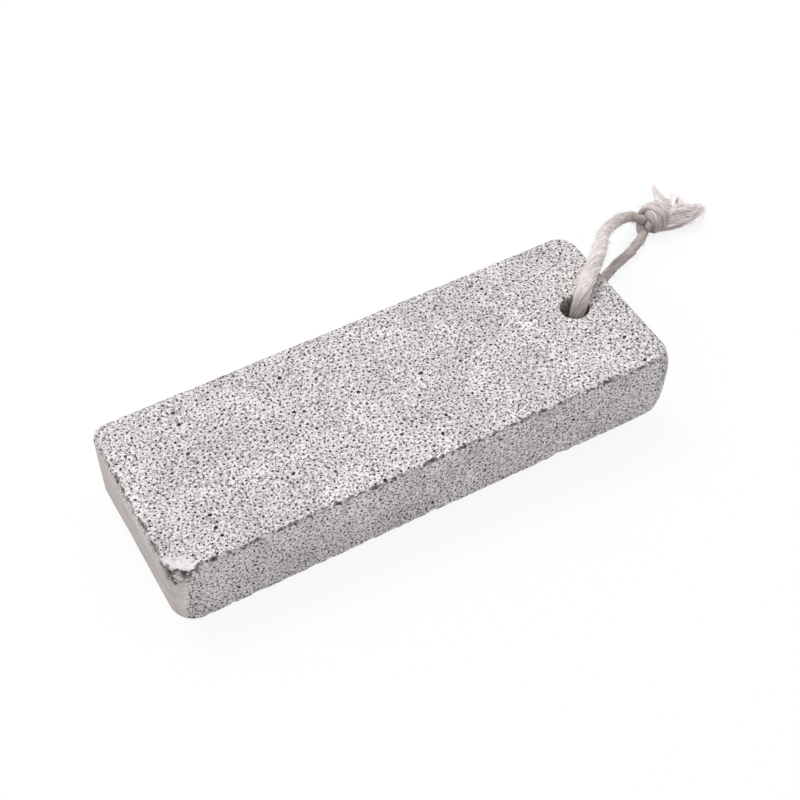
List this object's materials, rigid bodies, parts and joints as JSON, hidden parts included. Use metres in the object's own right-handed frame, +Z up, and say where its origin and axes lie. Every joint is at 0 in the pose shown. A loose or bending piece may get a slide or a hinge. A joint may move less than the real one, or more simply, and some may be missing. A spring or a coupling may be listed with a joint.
{
  "type": "pumice stone",
  "caption": "Flat bar of porous pumice with worn edges, drilled near one end and threaded with a knotted loop of cotton cord.",
  "frame": {"origin": "on the surface it lies on, under the middle of the bar's own box", "axes": "+X along the bar towards its drilled end, +Y across it towards the side the cord leads off to, +Z up"},
  "size_m": [0.1689, 0.0653, 0.0251],
  "materials": {
    "pumice": "dry, matt, full of small round pores",
    "cotton_cord": "undyed twisted cotton, soft and matt",
    "cotton_fray": "loose undyed cotton fibre, soft and matt"
  },
  "bodies": {
    "root": {"pumice_stone": "pumice", "cord_loop": "cotton_cord", "cord_knot": "cotton_cord", "cord_tail_long": "cotton_fray", "cord_tail_short": "cotton_fray"}
  },
  "joints": []
}
